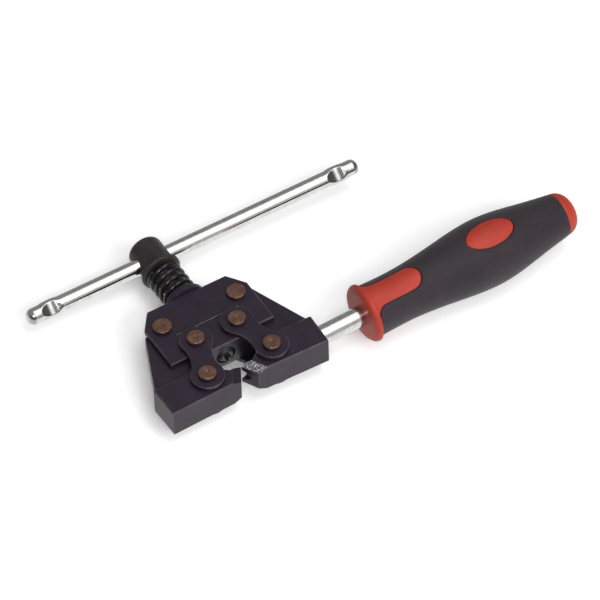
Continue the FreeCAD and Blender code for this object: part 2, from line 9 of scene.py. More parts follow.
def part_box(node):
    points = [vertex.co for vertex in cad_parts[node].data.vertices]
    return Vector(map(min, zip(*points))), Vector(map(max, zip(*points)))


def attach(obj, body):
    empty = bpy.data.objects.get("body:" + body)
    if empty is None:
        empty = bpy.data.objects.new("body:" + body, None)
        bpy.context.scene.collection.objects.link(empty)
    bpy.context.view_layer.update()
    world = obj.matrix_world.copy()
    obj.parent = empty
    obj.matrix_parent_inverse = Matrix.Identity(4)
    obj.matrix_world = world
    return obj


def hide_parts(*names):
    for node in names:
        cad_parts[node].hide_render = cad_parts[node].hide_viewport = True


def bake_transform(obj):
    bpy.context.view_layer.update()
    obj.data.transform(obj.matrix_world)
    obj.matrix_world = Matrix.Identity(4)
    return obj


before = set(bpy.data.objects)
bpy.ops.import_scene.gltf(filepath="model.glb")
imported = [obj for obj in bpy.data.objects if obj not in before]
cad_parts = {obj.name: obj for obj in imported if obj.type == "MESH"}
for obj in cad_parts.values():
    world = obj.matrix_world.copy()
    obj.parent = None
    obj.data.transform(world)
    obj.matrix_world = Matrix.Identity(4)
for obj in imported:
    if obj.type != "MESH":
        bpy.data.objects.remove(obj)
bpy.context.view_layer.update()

MM = 0.001
BLACK, SPRING, BRONZE = "black_oxide_steel", "spring_steel", "rivet_bronze"
ZINC, HARD, RED, RUBBER = "zinc_plated_steel", "hardened_steel", "red_plastic", "black_rubber"

# Stretches a texture along x, for marks that run along a drawn bar.
DRAWN_ALONG_X = (0.04, 1, 1)


# ---------------------------------------------------------------- node trees

def new_material(name):
    """A node material, its node tree and its shader."""
    material = bpy.data.materials.new(name)
    material.use_nodes = True
    tree = material.node_tree
    tree.nodes.clear()
    shader = tree.nodes.new("ShaderNodeBsdfPrincipled")
    output = tree.nodes.new("ShaderNodeOutputMaterial")
    tree.links.new(shader.outputs["BSDF"], output.inputs["Surface"])
    return material, tree, shader


def position(tree, scale=(1, 1, 1)):
    """Object coordinates, in metres, stretched by scale."""
    coordinates = tree.nodes.new("ShaderNodeTexCoord")
    mapping = tree.nodes.new("ShaderNodeMapping")
    mapping.inputs["Scale"].default_value = scale
    tree.links.new(coordinates.outputs["Object"], mapping.inputs["Vector"])
    return mapping.outputs["Vector"]


def noise(tree, vector, scale, detail=3.0, roughness=0.55):
    node = tree.nodes.new("ShaderNodeTexNoise")
    node.inputs["Scale"].default_value = scale
    node.inputs["Detail"].default_value = detail
    node.inputs["Roughness"].default_value = roughness
    tree.links.new(vector, node.inputs["Vector"])
    return node.outputs["Fac"]


def ramp(tree, factor, stops):
    """Colours or grey values at positions along a factor."""
    node = tree.nodes.new("ShaderNodeValToRGB")
    elements = node.color_ramp.elements
    while len(elements) < len(stops):
        elements.new(0.5)
    for element, (place, value) in zip(elements, stops):
        element.position = place
        colour = (value, value, value) if isinstance(value, float) else value
        element.color = (*colour, 1.0)
    tree.links.new(factor, node.inputs["Fac"])
    return node.outputs["Color"]


def mix_colour(tree, factor, first, second, blend="MIX"):
    node = tree.nodes.new("ShaderNodeMix")
    node.data_type = "RGBA"
    node.blend_type = blend
    if isinstance(factor, float):
        node.inputs["Factor"].default_value = factor
    else:
        tree.links.new(factor, node.inputs["Factor"])
    for socket, value in ((node.inputs[6], first), (node.inputs[7], second)):
        if isinstance(value, tuple):
            socket.default_value = (*value, 1.0)
        else:
            tree.links.new(value, socket)
    return node.outputs[2]


def bump(tree, shader, height, distance, strength=1.0):
    """Bump on top of whatever already drives the shader's normal."""
    node = tree.nodes.new("ShaderNodeBump")
    node.inputs["Distance"].default_value = distance
    node.inputs["Strength"].default_value = strength
    tree.links.new(height, node.inputs["Height"])
    if shader.inputs["Normal"].links:
        tree.links.new(shader.inputs["Normal"].links[0].from_socket, node.inputs["Normal"])
    tree.links.new(node.outputs["Normal"], shader.inputs["Normal"])


# ---------------------------------------------------------------- materials

def black_oxide(name, dark, light, rough_low, rough_high, metal=0.0, refraction=1.5):
    """Blackened steel: cloudy colour, a fine grain, and small bright scuffs."""
    material, tree, shader = new_material(name)
    place = position(tree)
    cloudy = noise(tree, place, 90.0, 4.0)
    grain = noise(tree, place, 2600.0, 3.0, 0.6)
    colour = ramp(tree, cloudy, [(0.3, dark), (0.7, light)])
    scuffs = ramp(tree, noise(tree, place, 900.0, 2.0), [(0.70, 0.0), (0.78, 1.0)])
    scuff_gain, scuff_lift = 3.2, 0.02
    scuffed = tuple(min(channel * scuff_gain + scuff_lift, 1) for channel in light)
    colour = mix_colour(tree, scuffs, colour, scuffed)
    tree.links.new(colour, shader.inputs["Base Color"])
    tree.links.new(ramp(tree, grain, [(0.3, rough_low), (0.7, rough_high)]), shader.inputs["Roughness"])
    shader.inputs["Metallic"].default_value = metal
    shader.inputs["IOR"].default_value = refraction
    bump(tree, shader, grain, 0.02 * MM, 0.5)
    bump(tree, shader, noise(tree, place, 260.0, 2.0), 0.06 * MM, 0.35)
    return material


def zinc_plate(name):
    """Bright zinc on drawn bar: streaks along the bar, faint spangle and ripples in the reflection."""
    material, tree, shader = new_material(name)
    streaks = noise(tree, position(tree, DRAWN_ALONG_X), 900.0, 3.0, 0.6)
    place = position(tree)
    spangle = noise(tree, place, 420.0, 3.0)
    colour = ramp(tree, spangle, [(0.3, (0.60, 0.60, 0.585)), (0.7, (0.75, 0.75, 0.735))])
    tree.links.new(colour, shader.inputs["Base Color"])
    tree.links.new(ramp(tree, streaks, [(0.3, 0.09), (0.75, 0.20)]), shader.inputs["Roughness"])
    shader.inputs["Metallic"].default_value = 1.0
    bump(tree, shader, streaks, 0.006 * MM, 0.4)
    bump(tree, shader, noise(tree, place, 110.0, 2.0), 0.06 * MM, 0.3)
    return material


def rivet_metal(name):
    """Copper-brown rivets with a fine bump and dark staining."""
    material, tree, shader = new_material(name)
    place = position(tree)
    stain = noise(tree, place, 330.0, 4.0, 0.6)
    colour = ramp(tree, stain, [(0.25, (0.175, 0.094, 0.070)), (0.6, (0.275, 0.152, 0.114)),
                                 (0.8, (0.37, 0.225, 0.18))])
    tree.links.new(colour, shader.inputs["Base Color"])
    tree.links.new(ramp(tree, stain, [(0.3, 0.24), (0.75, 0.36)]), shader.inputs["Roughness"])
    shader.inputs["Metallic"].default_value = 0.85
    bump(tree, shader, noise(tree, place, 1500.0, 2.0), 0.02 * MM, 0.6)
    return material


def ground_steel(name):
    """Bare steel as the grinder left it: coarse bright sparkle."""
    material, tree, shader = new_material(name)
    place = position(tree)
    sparkle = noise(tree, place, 1100.0, 3.0, 0.7)
    colour = ramp(tree, sparkle, [(0.38, (0.06, 0.06, 0.065)), (0.5, (0.24, 0.24, 0.25)),
                                  (0.63, (0.88, 0.88, 0.90))])
    tree.links.new(colour, shader.inputs["Base Color"])
    tree.links.new(ramp(tree, sparkle, [(0.3, 0.55), (0.7, 0.32)]), shader.inputs["Roughness"])
    shader.inputs["Metallic"].default_value = 0.75
    bump(tree, shader, sparkle, 0.08 * MM, 0.8)
    return material


def red_moulding(name):
    """Satin red plastic with a faint moulded texture."""
    material, tree, shader = new_material(name)
    place = position(tree)
    tone = noise(tree, place, 70.0, 3.0)
    grain = noise(tree, place, 2400.0, 2.0)
    colour = ramp(tree, tone, [(0.3, (0.335, 0.028, 0.0145)), (0.7, (0.40, 0.036, 0.019))])
    tree.links.new(colour, shader.inputs["Base Color"])
    tree.links.new(ramp(tree, grain, [(0.3, 0.42), (0.7, 0.54)]), shader.inputs["Roughness"])
    shader.inputs["Subsurface Weight"].default_value = 0.06
    shader.inputs["Subsurface Radius"].default_value = (0.004, 0.001, 0.0006)
    bump(tree, shader, grain, 0.02 * MM, 0.4)
    return material


def soft_rubber(name):
    """Matt soft-touch rubber: fine pebble, dusty bloom and handling marks."""
    material, tree, shader = new_material(name)
    place = position(tree)
    bloom = noise(tree, place, 42.0, 4.0, 0.6)
    pebble = noise(tree, place, 1900.0, 2.0, 0.5)
    colour = ramp(tree, bloom, [(0.3, (0.0185, 0.0135, 0.0178)), (0.75, (0.029, 0.0215, 0.0275))])
    tree.links.new(colour, shader.inputs["Base Color"])
    tree.links.new(ramp(tree, pebble, [(0.3, 0.55), (0.7, 0.72)]), shader.inputs["Roughness"])
    shader.inputs["Sheen Weight"].default_value = 0.06
    shader.inputs["Sheen Roughness"].default_value = 0.5
    bump(tree, shader, pebble, 0.05 * MM, 0.6)
    return material


oxide = black_oxide("blackened_steel", dark=(0.0120, 0.0065, 0.0150), light=(0.0200, 0.0115, 0.0245),
                    rough_low=0.34, rough_high=0.46)
# Edge wear and painted highlight in one: the rounded edges get a lighter, more metallic black, bright enough
# to stand in for the highlights along the edges.
oxide_edge_wear_and_highlight = black_oxide("blackened_steel_worn_and_highlit", dark=(0.062, 0.058, 0.064), light=(0.185, 0.175, 0.185),
                         rough_low=0.22, rough_high=0.32, metal=0.6)
oxide_turned = black_oxide("blackened_turned_steel", dark=(0.018, 0.0125, 0.0135),
                           light=(0.032, 0.0235, 0.025), rough_low=0.36, rough_high=0.5)
# Painted shade: a very dark black for the punch, which sits in shade inside the jaws' mouth.
punch_painted_shade_black = black_oxide("punch_black_painted_shade", dark=(0.0065, 0.005, 0.007), light=(0.012, 0.0095, 0.0125),
                          rough_low=0.22, rough_high=0.34)
# Painted fill light: a black lighter than the plain oxide, for the nut's front face, which sits in shade
# inside the jaws' mouth. The screw's nose wears it too, as painted shade: a little darker and glossier than
# the turned shaft.
mouth_painted_light = black_oxide("blackened_steel_painted_mouth_light", dark=(0.017, 0.0125, 0.019), light=(0.027, 0.0205, 0.030),
                          rough_low=0.30, rough_high=0.42)
coil_black = black_oxide("oiled_spring_wire", dark=(0.005, 0.0045, 0.0055), light=(0.010, 0.009, 0.011),
                         rough_low=0.12, rough_high=0.20, refraction=1.62)
bare = ground_steel("ground_bare_steel")
rivets = rivet_metal("coppered_rivet")
zinc_bar = zinc_plate("zinc_plated_bar")
zinc_rod = zinc_plate("zinc_plated_rod")
red = red_moulding("red_moulding")
rubber = soft_rubber("soft_rubber")


# ---------------------------------------------------------------- meshes

def add_piece(name, mesh, body, slot, nodes, *materials):
    """Put a mesh in the scene as a piece that moves with a body and stands for CAD nodes."""
    piece = bpy.data.objects.new(name, mesh)
    bpy.context.collection.objects.link(piece)
    for material in materials:
        mesh.materials.append(material)
    mesh.polygons.foreach_set("use_smooth", [True] * len(mesh.polygons))
    if body:
        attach(piece, body)
    if nodes:
        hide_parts(*nodes)
    return piece


def plain_mesh(name, vertices, faces):
    mesh = bpy.data.meshes.new(name)
    mesh.from_pydata([tuple(vertex) for vertex in vertices], [], faces)
    mesh.update()
    return mesh


JOIN_WITHIN = 1e-6
FLAT_WITHIN = math.radians(0.8)
ROUNDED_FROM = math.radians(24)


def clean_copy(node, change=None):
    """The CAD node's mesh with its corners joined and its flat faces whole again."""
    work = bmesh.new()
    work.from_mesh(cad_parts[node].data)
    bmesh.ops.remove_doubles(work, verts=work.verts, dist=JOIN_WITHIN)
    if change:
        change(work)
    bmesh.ops.dissolve_limit(work, angle_limit=FLAT_WITHIN, verts=work.verts, edges=work.edges)
    bmesh.ops.recalc_face_normals(work, faces=work.faces)
    vertices = [vertex.co.copy() for vertex in work.verts]
    work.verts.index_update()
    faces = [[vertex.index for vertex in face.verts] for face in work.faces]
    work.free()
    return vertices, faces


def softened(name, node, body, slot, width, materials, worn_and_highlit=None, special=None, change=None, segments=2):
    """A CAD node with its edges rounded, in the first of its materials.

    The index given for the edges picks the rounded edges' material: a lighter, more metallic one that paints
    both edge wear and the edges' highlights. special is the index of another one with a test that picks its
    faces.
    """
    vertices, faces = clean_copy(node, change)
    mesh = plain_mesh(name, vertices, faces)
    piece = add_piece(name, mesh, body, slot, [node], *materials)
    if special:
        index, test = special
        for polygon in mesh.polygons:
            if test(polygon):
                polygon.material_index = index
    rounding = piece.modifiers.new("rounded_edges", "BEVEL")
    rounding.width = width
    rounding.segments = segments
    rounding.limit_method = "ANGLE"
    rounding.angle_limit = ROUNDED_FROM
    rounding.use_clamp_overlap = True
    rounding.loop_slide = True
    if worn_and_highlit is not None:
        rounding.material = worn_and_highlit
    shading = piece.modifiers.new("even_shading", "WEIGHTED_NORMAL")
    shading.keep_sharp = True


def grid_faces(rows, columns, flip=False):
    """Quads of a closed tube of rings, each ring closed on itself."""
    faces = []
    for row in range(rows - 1):
        for column in range(columns):
            near, far = column, (column + 1) % columns
            quad = [row * columns + near, row * columns + far,
                    (row + 1) * columns + far, (row + 1) * columns + near]
            faces.append(quad[::-1] if flip else quad)
    return faces


def ringed(name, rings, flip=False):
    """A closed solid skinned over rings of points, with a face across each end."""
    rings = np.asarray(rings)
    rows, columns, _ = rings.shape
    faces = grid_faces(rows, columns, flip)
    first = list(range(columns))
    last = [(rows - 1) * columns + column for column in range(columns)]
    faces += [first if flip else first[::-1], last[::-1] if flip else last]
    return plain_mesh(name, rings.reshape(-1, 3), faces)


def lathe(name, profile, centre, axis, steps=72):
    """A solid turned from (radius, height) points about an axis through centre."""
    turn = Vector((0, 0, 1)).rotation_difference(Vector(axis)).to_matrix()
    angles = np.linspace(0, 2 * math.pi, steps, endpoint=False)
    rings = []
    for radius, height in profile:
        ring = np.stack([radius * np.cos(angles), radius * np.sin(angles), np.full(steps, height)], axis=1)
        rings.append(ring @ np.array(turn).T + np.array(centre))
    return ringed(name, rings)


def arc(centre, radius, start, end, count):
    """Points of a profile's rounding, its angles in degrees."""
    turns = np.radians(np.linspace(start, end, count))
    return [(centre[0] + radius * math.cos(turn), centre[1] + radius * math.sin(turn)) for turn in turns]


def tube_mesh(name, path, radius, sides=20):
    """Round wire along a path, closed at both ends with a small dome."""
    path = np.asarray(path)
    heading = np.gradient(path, axis=0)
    heading /= np.linalg.norm(heading, axis=1)[:, None]
    across = np.cross(heading, (0.0, 1.0, 0.0))
    across /= np.linalg.norm(across, axis=1)[:, None]
    upward = np.cross(across, heading)
    angles = np.linspace(0, 2 * math.pi, sides, endpoint=False)
    dome = ((0.32, 0.82), (0.55, 0.45))
    stations = [(0, -ahead, share) for ahead, share in reversed(dome)]
    stations += [(index, 0.0, 1.0) for index in range(len(path))]
    stations += [(len(path) - 1, ahead, share) for ahead, share in dome]
    rings = []
    for index, ahead, share in stations:
        centre = path[index] + heading[index] * ahead * radius
        ring = [centre + radius * share * (math.cos(turn) * across[index] + math.sin(turn) * upward[index])
                for turn in angles]
        rings.append(ring)
    return ringed(name, rings, flip=True)


# ---------------------------------------------------------------- head

HEAD_ROUNDING, LINK_ROUNDING = 0.16 * MM, 0.22 * MM
softened("fork_forging", "body_fork", "body", BLACK, HEAD_ROUNDING, (oxide, oxide_edge_wear_and_highlight), worn_and_highlit=1)


def on_nut_front(polygon):
    """The nut's front face, in a lighter black than the rest of the nut: painted fill light for a face in
    shade.
    """
    return polygon.normal.y < -0.9


# The nut's front face takes a lighter black: painted fill light where the face sits in shade.
softened("nut_block", "crosshead", "crosshead", BLACK, HEAD_ROUNDING, (oxide, oxide_edge_wear_and_highlight, mouth_painted_light),
         worn_and_highlit=1, special=(2, on_nut_front))


def on_tip_slope(polygon):
    """The ground slope on top of the right jaw's tip, which leans towards the left jaw."""
    normal = polygon.normal
    least_area = 4 * MM * MM
    return 0.6 < normal.z < 0.97 and normal.x < -0.2 and polygon.area > least_area


softened("right_jaw_block", "right_jaw", "right_jaw", BLACK, HEAD_ROUNDING, (oxide, oxide_edge_wear_and_highlight, bare),
         worn_and_highlit=1, special=(2, on_tip_slope))
softened("left_jaw_block", "left_jaw", "left_jaw", BLACK, HEAD_ROUNDING, (oxide, oxide_edge_wear_and_highlight), worn_and_highlit=1)
for side in ("left", "right"):
    for level in ("upper", "lower"):
        softened(f"{side}_link_{level}", f"{level}_{side}_link", f"{side}_links", BLACK, LINK_ROUNDING,
                 (oxide, oxide_edge_wear_and_highlight), worn_and_highlit=1, segments=3)


def rivet(name, node, body, dimpled):
    """A riveted pin: flat on top, with a rounded rim, and with a centre mark if it is dimpled."""
    low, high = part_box(node)
    centre = (low + high) / 2
    half = (high.z - low.z) / 2
    radius = (high.x - low.x) / 2
    rim, rise = 0.5 * MM, 2.1 * MM
    shank = (3.0 if dimpled else 3.56) * MM
    top = [(0.02 * MM, half - 0.30 * MM), (0.3 * MM, half - 0.25 * MM), (0.62 * MM, half - 0.04 * MM),
           (0.8 * MM, half)] if dimpled else [(0.02 * MM, half), (0.8 * MM, half)]
    top += [(radius * 0.55, half - 0.01 * MM), (radius - rim - 0.12 * MM, half - 0.02 * MM)]
    top += arc((radius - rim, half - rim - 0.02 * MM), rim, 84, 0, 6)
    top += [(radius, half - rise), (shank, half - rise)]
    profile = [(across, -height) for across, height in top] + top[::-1]
    mesh = lathe(name, profile, centre, (0, 0, 1))
    add_piece(name, mesh, body, BRONZE, [node], rivets)


for side in ("left", "right"):
    rivet(f"{side}_pivot_rivet", f"{side}_pivot_pin", "body", False)
    rivet(f"{side}_nut_rivet", f"{side}_crosshead_pin", "crosshead", True)
    rivet(f"{side}_link_rivet", f"{side}_link_pin", f"{side}_links", True)


# ---------------------------------------------------------------- spindle, spring, T-bar

SHAFT, ROOT, PITCH = 5.0 * MM, 4.42 * MM, 1.5 * MM
NOSE_END, THREAD_START, THREAD_STEP = 19.9 * MM, 20.2 * MM, 0.16 * MM
HUB_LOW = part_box("thrust_collar")[1].y + 0.05 * MM


def thin_shaft(work):
    """Take the plain shaft down to the thread's root, so that the cut thread shows."""
    for vertex in work.verts:
        radius = math.hypot(vertex.co.x, vertex.co.z)
        if abs(radius - SHAFT) < 0.06 * MM and NOSE_END < vertex.co.y < HUB_LOW + 0.05 * MM:
            share = (ROOT - 0.1 * MM) / radius
            vertex.co.x *= share
            vertex.co.z *= share


def on_nose(polygon):
    """The screw's nose, in a slightly darker, glossier black than the turned shaft: painted shade inside the
    mouth.
    """
    return polygon.center.y < NOSE_END


# The nose takes the mouth's painted black, a little darker than the turned shaft, for the shade inside the
# jaws.
softened("spindle_hub", "spindle", "spindle", BLACK, 0.2 * MM, (oxide_turned, mouth_painted_light),
         special=(1, on_nose), change=thin_shaft)

angles = np.linspace(0, 2 * math.pi, 56, endpoint=False)
rings = []
for along in np.arange(THREAD_START, HUB_LOW, THREAD_STEP):
    wave = np.abs(((along / PITCH - angles / (2 * math.pi)) % 1.0) * 2 - 1)
    radii = ROOT + (SHAFT - ROOT) * np.clip(1.3 * wave - 0.15, 0, 1)
    heights = np.full(len(angles), along)
    rings.append(np.stack([radii * np.cos(angles), heights, radii * np.sin(angles)], axis=1))
thread_mesh = ringed("spindle_thread", rings, flip=True)
add_piece("spindle_thread", thread_mesh, "spindle", BLACK, ["spindle"], oxide_turned)

# The punch is painted near black for the shade inside the mouth; its rounded edges get bare steel, for wear
# and a painted bright tip.
softened("punch_pin", "punch", "spindle", HARD, 0.1 * MM, (punch_painted_shade_black, bare), worn_and_highlit=1)
softened("thrust_washer", "thrust_collar", "collar", BLACK, 0.35 * MM, (oxide_turned,), segments=3)
softened("flanged_bush", "spring_seat", "body", BLACK, 0.2 * MM, (oxide,), segments=3)

# The wire lies flat for part of a turn on each end before it starts to climb.
WIRE, COIL, COIL_PITCH = 1.1 * MM, 7.65 * MM, 4.12 * MM
STEPS_PER_TURN = 56
spring_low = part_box("spring_seat")[1].y + WIRE
spring_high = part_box("thrust_collar")[0].y - WIRE
ACTIVE_TURNS, FLAT_TURNS = (spring_high - spring_low) / COIL_PITCH, 0.42
turns = np.arange(-FLAT_TURNS, ACTIVE_TURNS + FLAT_TURNS, 1 / STEPS_PER_TURN)
climb = np.clip(turns / ACTIVE_TURNS, 0, 1)
coil_path = np.stack([COIL * np.cos(2 * math.pi * turns), spring_low + climb * (spring_high - spring_low),
                      -COIL * np.sin(2 * math.pi * turns)], axis=1)
# The coil is cut in two at this height: the lower piece runs from the seat up to here, the upper one on up
# to the collar.
CHANGE_AT = 63.0 * MM
split = int(np.searchsorted(coil_path[:, 1], CHANGE_AT))
lower_mesh = tube_mesh("spring_lower_coils", coil_path[:split + 1], WIRE)
upper_mesh = tube_mesh("spring_upper_coils", coil_path[split:], WIRE)
lower_coil = add_piece("spring_lower_coils", lower_mesh, None, SPRING, ["spring"], coil_black)
upper_coil = add_piece("spring_upper_coils", upper_mesh, None, SPRING, ["spring"], coil_black)
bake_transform(lower_coil)
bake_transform(upper_coil)


def tee_bar():
    """Round bar with domed ends, squeezed near each end into a hollow on two sides and ears between them."""
    low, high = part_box("t_bar")
    axis_y = (low.y + high.y) / 2
    radius, rounding = 4.0 * MM, 3.2 * MM
    squeeze, squeeze_half, hollow_depth, ear = 12.0 * MM, 5.3 * MM, 1.35 * MM, 0.4 * MM
    fine_length, fine_step, coarse_from, coarse_count = 19 * MM, 0.35 * MM, 19.2 * MM, 90
    corner = 0.16 * MM
    roll = Matrix.Rotation(math.radians(44), 3, "X")

    stations = [low.x + rounding * (1 - math.cos(turn)) for turn in np.radians(np.linspace(4, 86, 12))]
    stations += list(np.arange(low.x + rounding, low.x + fine_length, fine_step))
    stations += list(np.linspace(low.x + coarse_from, high.x - coarse_from, coarse_count))
    stations += list(np.arange(high.x - fine_length, high.x - rounding, fine_step))
    stations += [high.x - rounding * (1 - math.cos(turn)) for turn in np.radians(np.linspace(86, 4, 12))]
    turns = np.linspace(0, 2 * math.pi, 96, endpoint=False)
    rings = []
    for along in stations:
        inward = min(along - low.x, high.x - along)
        share = min(inward / rounding, 1.0)
        body_radius = radius - rounding + rounding * math.sqrt(max(1 - (1 - share) ** 2, 0))
        offset = min(abs(along - low.x - squeeze), abs(high.x - squeeze - along)) / squeeze_half
        ring = []
        for turn in turns:
            across, up = body_radius * math.cos(turn), body_radius * math.sin(turn)
            if offset < 1.25:
                swell = max(1 - offset ** 2, 0)
                swell = swell * swell * (3 - 2 * swell)
                across += math.copysign(ear * swell * abs(math.cos(turn)) ** 1.5, across)
                hollow = radius - hollow_depth * (1 - offset ** 2)
                blend = 0.5 * (abs(up) + hollow - math.sqrt((abs(up) - hollow) ** 2 + corner ** 2))
                up = math.copysign(min(blend + 0.25 * corner, abs(up)), up)
            ring.append((along, across, up))
        rings.append(np.array(ring) @ np.array(roll).T + np.array((0, axis_y, 0)))
    add_piece("tee_bar", ringed("tee_bar", rings), "t_bar", ZINC, ["t_bar"], zinc_bar)


tee_bar()

# ---------------------------------------------------------------- handle

softened("handle_shank", "handle_rod", "right_jaw", ZINC, 0.3 * MM, (zinc_rod,))

# The handle's sizes are in millimetres along and about its own axis, as in the CAD part.
STATIONS = ((68.3, 12.9), (86.0, 12.5), (112.0, 14.8), (137.0, 16.6), (160.0, 13.2), (175.2, 10.75))
GRIP_START, GRIP_END, CAP_END, SKIN = 68.3, 175.2, 182.7, 2.4
RING_FRONT, RING_RADIUS = 64.8, 14.4
PANEL_END, PANEL_HALF, FLARE = 96.3, 6.4, 6.2
OVAL_AT, OVAL_LONG, OVAL_WIDE = 134.8, 12.9, 7.3
RIBS_FROM, RIBS_TO, RIB_HALF, RIB_PITCH, RIB_HEIGHT = 76.0, 91.0, 4.6, 1.7, 0.08
CAP_RADIUS, CAP_FULLNESS = 10.7, 0.72
HANDLE = (Matrix.Translation((0, 3.65 * MM, 0)) @ Matrix.Rotation(math.radians(1.6), 4, "Z")
          @ Matrix.Rotation(math.radians(8.9), 4, "X"))


def spline_through(points):
    """A natural cubic spline through (x, y) points, as a function of x."""
    x = np.array([point[0] for point in points])
    y = np.array([point[1] for point in points])
    gaps = np.diff(x)
    count = len(x)
    system = np.eye(count)
    right = np.zeros(count)
    for index in range(1, count - 1):
        system[index, index - 1] = gaps[index - 1]
        system[index, index] = 2 * (gaps[index - 1] + gaps[index])
        system[index, index + 1] = gaps[index]
        ahead, behind = y[index + 1] - y[index], y[index] - y[index - 1]
        right[index] = 6 * (ahead / gaps[index] - behind / gaps[index - 1])
    bends = np.linalg.solve(system, right)

    def value(at):
        at = float(np.clip(at, x[0], x[-1]))
        index = int(np.clip(np.searchsorted(x, at) - 1, 0, count - 2))
        gap, ahead, behind = gaps[index], x[index + 1] - at, at - x[index]
        return ((bends[index] * ahead ** 3 + bends[index + 1] * behind ** 3) / (6 * gap)
                + (y[index] / gap - bends[index] * gap / 6) * ahead
                + (y[index + 1] / gap - bends[index + 1] * gap / 6) * behind)
    return value


barrel = spline_through(STATIONS)


def outside_window(along, across):
    """Signed distance in mm from the nearest window's edge, negative inside it."""
    panel_centre = PANEL_END - PANEL_HALF
    scoop = GRIP_START + FLARE
    if along > panel_centre:
        panel = math.hypot(along - panel_centre, across) - PANEL_HALF
    elif along > scoop:
        panel = abs(across) - PANEL_HALF
    elif abs(across) > PANEL_HALF + FLARE:
        panel = FLARE
    else:
        panel = FLARE - math.hypot(along - scoop, abs(across) - PANEL_HALF - FLARE)
    dx, dy = (along - OVAL_AT) / OVAL_LONG, across / OVAL_WIDE
    share = math.hypot(dx, dy)
    slope = math.hypot(dx / OVAL_LONG, dy / OVAL_WIDE) / max(share, 1e-6)
    oval = (share - 1) / max(slope, 1e-6) if share > 1e-6 else -OVAL_WIDE
    return min(panel, oval)


def smooth_step(value, low, high):
    share = min(max((value - low) / (high - low), 0.0), 1.0)
    return share * share * (3 - 2 * share)


def handle_rings(stations):
    """Rings about the handle's axis, each a place along it and a radius or a function that gives one."""
    dense = np.radians(np.linspace(-66, 66, 130))
    sparse = np.radians(np.linspace(66, 114, 16))[1:-1]
    turns = np.concatenate([dense, sparse, dense + math.pi, sparse + math.pi]) + math.pi / 2
    rings = []
    for along, radius_at in stations:
        ring = []
        for turn in turns:
            radius = radius_at(along, turn) if callable(radius_at) else radius_at
            place = Vector((along, radius * math.cos(turn), radius * math.sin(turn))) * MM
            ring.append(HANDLE @ place)
        rings.append([tuple(point) for point in ring])
    return rings


def rubber_radius(along, turn):
    """Rubber skin: full height outside the windows, rolled down at their edges."""
    radius = barrel(along)
    gap = outside_window(along, radius * math.cos(turn))
    end = smooth_step(GRIP_END - along, -0.05, 0.6)
    lip = smooth_step(gap, -0.35, 0.75)
    return radius - SKIN * (1 - smooth_step(gap, -0.4, 0.1)) - 0.2 * (1 - lip) - 0.35 * (1 - end)


def ribs(along, across):
    """Fine raised cross ribs on the thumb panel."""
    if not RIBS_FROM < along < RIBS_TO or abs(across) > RIB_HALF:
        return 0.0
    ends = smooth_step(RIB_HALF - abs(across), 0.0, 0.6)
    ends *= smooth_step(min(along - RIBS_FROM, RIBS_TO - along), 0.0, 0.6)
    return RIB_HEIGHT * ends * max(math.cos(2 * math.pi * (along - RIBS_FROM) / RIB_PITCH), -0.2)


def core_radius(along, turn):
    """Red core's panels come up level with the rubber; elsewhere it lies under the rubber's skin."""
    radius = barrel(along)
    across = radius * math.cos(turn)
    gap = outside_window(along, across)
    rise = smooth_step(-gap, -0.15, 0.45)
    crown = 0.25 * smooth_step(-gap, 0.0, 4.5)
    return radius - SKIN + (SKIN - 0.12) * rise + crown * rise + ribs(along, across) * rise


def stretches(*parts):
    """Places along the handle, from a start, an end and a step for each stretch of it."""
    return [along for start, end, step in parts for along in np.arange(start, end, step)]


# The steps are fine where a window's edge or a rib runs across them.
grip_stations = stretches((GRIP_START, 75.0, 0.3), (75.0, 87.0, 0.7), (87.0, 98.0, 0.3), (98.0, 120.5, 1.3),
                          (120.5, 149.5, 0.36), (149.5, GRIP_END - 1, 1.3))
grip_stations += [GRIP_END - 0.8, GRIP_END - 0.5, GRIP_END - 0.2, GRIP_END]
grip = ringed("rubber_grip", handle_rings([(along, rubber_radius) for along in grip_stations]))
add_piece("rubber_grip", grip, "right_jaw", RUBBER, ["handle_grip"], rubber)

# The core's outline: a ring with a well rounded front, the body with its panels, and the domed cap.
outline = [(RING_FRONT + 0.05, 5.0), (RING_FRONT, 6.0), (RING_FRONT, 9.0)]
outline += [(RING_FRONT + 2.9 * (1 - math.cos(turn)), RING_RADIUS - 3.6 + 3.6 * math.sin(turn))
            for turn in np.radians(np.linspace(0, 90, 14))]
outline += arc((GRIP_START - 0.5, RING_RADIUS - 0.5), 0.5, 90, 0, 5)
outline += [(GRIP_START, 13.1)]
core_stations = stretches((GRIP_START + 0.05, 75.0, 0.3), (75.0, 92.0, 0.24), (92.0, 98.0, 0.3),
                          (98.0, 120.5, 2.0), (120.5, 149.5, 0.36), (150.0, GRIP_END - 1, 2.0))
core_stations += [GRIP_END - 0.3]
cap = [(GRIP_END - 0.1, 10.6)]
cap += [(GRIP_END - 0.1 + (CAP_END - GRIP_END) * math.sin(turn),
         CAP_RADIUS * max(math.cos(turn), 0.02) ** CAP_FULLNESS)
        for turn in np.radians(np.linspace(2, 89, 17))]
core = ringed("red_core", handle_rings(outline + [(along, core_radius) for along in core_stations] + cap))
add_piece("red_core", core, "right_jaw", RED, ["handle_core"], red)


# ---------------------------------------------------------------- floor, light, camera

FLOOR_HALF, FLOOR_GAP = 9.0, 0.2 * MM
PAPER_WHITE, PAPER_GLOW = (0.93, 0.93, 0.93, 1.0), 0.17
LIGHTS_AIM = Vector((0.03, 0.03, 0))


def shown_corners(node):
    return [vertex.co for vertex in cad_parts[node].data.vertices]


